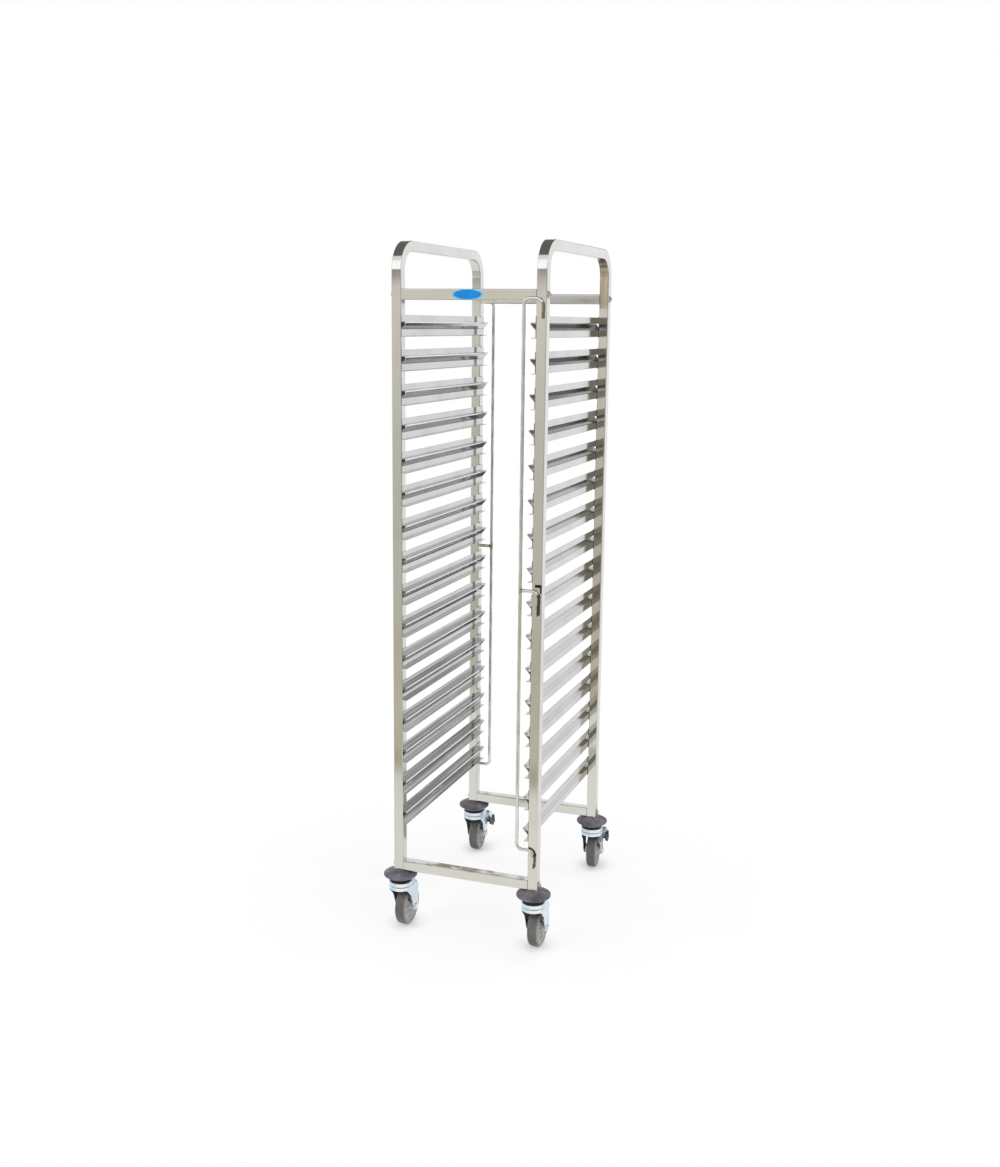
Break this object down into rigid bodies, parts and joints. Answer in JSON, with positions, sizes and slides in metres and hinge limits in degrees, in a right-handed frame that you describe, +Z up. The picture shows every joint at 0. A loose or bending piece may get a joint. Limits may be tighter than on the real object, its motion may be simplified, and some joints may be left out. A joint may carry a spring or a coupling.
{
  "type": "gastronorm tray trolley",
  "caption": "Tall open trolley of square steel tube with folded runners for trays, bent handle hoops, two swinging rod gates and swivel castors with bumpers and brakes.",
  "frame": {"origin": "on the floor, below the middle of the frame", "axes": "+X across the trolley, to the right seen from the front; +Y from front to back, the way the trays go in; +Z up"},
  "size_m": [0.44, 0.676, 1.71],
  "materials": {
    "stainless": "satin",
    "runner_steel": "satin",
    "gate_steel": "satin",
    "zinc": "satin",
    "nut_white": "matte",
    "plate_blue": "gloss",
    "bumper_grey": "matte",
    "hub_grey": "matte",
    "tyre_grey": "matte",
    "pad_grey": "matte"
  },
  "bodies": {
    "frame": {"hoop_left": "stainless", "hoop_right": "stainless", "post_front_left": "stainless", "post_front_right": "stainless", "post_rear_left": "stainless", "post_rear_right": "stainless", "top_rail_front": "stainless", "top_rail_rear": "stainless", "bottom_rail_front": "stainless", "bottom_rail_rear": "stainless", "hoop_spigots": "nut_white", "rail_end_nuts": "nut_white", "frame_bolts": "stainless", "frame_washers": "stainless", "oval_plate": "plate_blue", "runners_left_top": "runner_steel", "runners_left_upper": "runner_steel", "runners_left_lower": "runner_steel", "runners_left_bottom": "runner_steel", "runners_right_top": "runner_steel", "runners_right_upper": "runner_steel", "runners_right_lower": "runner_steel", "runners_right_bottom": "runner_steel", "gate_straps_front": "stainless", "gate_straps_rear": "stainless", "stem_front_left": "zinc", "stem_front_right": "zinc", "stem_rear_left": "zinc", "stem_rear_right": "zinc", "bumper_front_left": "bumper_grey", "bumper_front_right": "bumper_grey", "bumper_rear_left": "bumper_grey", "bumper_rear_right": "bumper_grey", "swivel_balls": "zinc"},
    "castor_front_left": {"fork_front_left": "zinc", "axle_front_left": "zinc"},
    "wheel_front_left": {"hub_front_left": "hub_grey", "tyre_front_left": "tyre_grey"},
    "castor_front_right": {"fork_front_right": "zinc", "axle_front_right": "zinc"},
    "wheel_front_right": {"hub_front_right": "hub_grey", "tyre_front_right": "tyre_grey"},
    "castor_rear_left": {"fork_rear_left": "zinc", "axle_rear_left": "zinc", "brake_pin_rear_left": "zinc"},
    "wheel_rear_left": {"hub_rear_left": "hub_grey", "tyre_rear_left": "tyre_grey"},
    "brake_rear_left": {"brake_lever_rear_left": "zinc", "brake_pad_rear_left": "pad_grey"},
    "castor_rear_right": {"fork_rear_right": "zinc", "axle_rear_right": "zinc", "brake_pin_rear_right": "zinc"},
    "wheel_rear_right": {"hub_rear_right": "hub_grey", "tyre_rear_right": "tyre_grey"},
    "brake_rear_right": {"brake_lever_rear_right": "zinc", "brake_pad_rear_right": "pad_grey"},
    "gate_front": {"gate_front": "gate_steel"},
    "gate_rear": {"gate_rear": "gate_steel"}
  },
  "joints": [
    {"name": "castor_front_left_swivel", "type": "hinge", "parent": "frame", "child": "castor_front_left", "pos_m": [-0.1775, -0.2625, 0.132], "axis": [0, 0, 1], "continuous": true},
    {"name": "wheel_front_left_spin", "type": "hinge", "parent": "castor_front_left", "child": "wheel_front_left", "pos_m": [-0.17684, -0.22451, 0.05], "axis": [0.9998, -0.0175, 0], "continuous": true},
    {"name": "castor_front_right_swivel", "type": "hinge", "parent": "frame", "child": "castor_front_right", "pos_m": [0.1775, -0.2625, 0.132], "axis": [0, 0, 1], "continuous": true},
    {"name": "wheel_front_right_spin", "type": "hinge", "parent": "castor_front_right", "child": "wheel_front_right", "pos_m": [0.1775, -0.2245, 0.05], "axis": [1, 0, 0], "continuous": true},
    {"name": "castor_rear_left_swivel", "type": "hinge", "parent": "frame", "child": "castor_rear_left", "pos_m": [-0.1775, 0.2625, 0.132], "axis": [0, 0, 1], "continuous": true},
    {"name": "wheel_rear_left_spin", "type": "hinge", "parent": "castor_rear_left", "child": "wheel_rear_left", "pos_m": [-0.18015, 0.30041, 0.05], "axis": [0.9976, 0.0698, 0], "continuous": true},
    {"name": "brake_rear_left_lever", "type": "hinge", "parent": "castor_rear_left", "child": "brake_rear_left", "pos_m": [-0.17987, 0.29642, 0.1045], "axis": [-0.9976, -0.0698, 0], "range_deg": [0, 8]},
    {"name": "castor_rear_right_swivel", "type": "hinge", "parent": "frame", "child": "castor_rear_right", "pos_m": [0.1775, 0.2625, 0.132], "axis": [0, 0, 1], "continuous": true},
    {"name": "wheel_rear_right_spin", "type": "hinge", "parent": "castor_rear_right", "child": "wheel_rear_right", "pos_m": [0.17353, 0.30029, 0.05], "axis": [0.9945, 0.1045, 0], "continuous": true},
    {"name": "brake_rear_right_lever", "type": "hinge", "parent": "castor_rear_right", "child": "brake_rear_right", "pos_m": [0.17395, 0.29631, 0.1045], "axis": [-0.9945, -0.1045, 0], "range_deg": [0, 8]},
    {"name": "gate_front_swing", "type": "hinge", "parent": "frame", "child": "gate_front", "pos_m": [0.18, -0.28, 1.578], "axis": [0, 0, 1], "range_deg": [0, 180]},
    {"name": "gate_rear_swing", "type": "hinge", "parent": "frame", "child": "gate_rear", "pos_m": [-0.18, 0.28, 1.578], "axis": [0, 0, 1], "range_deg": [0, 180]}
  ]
}
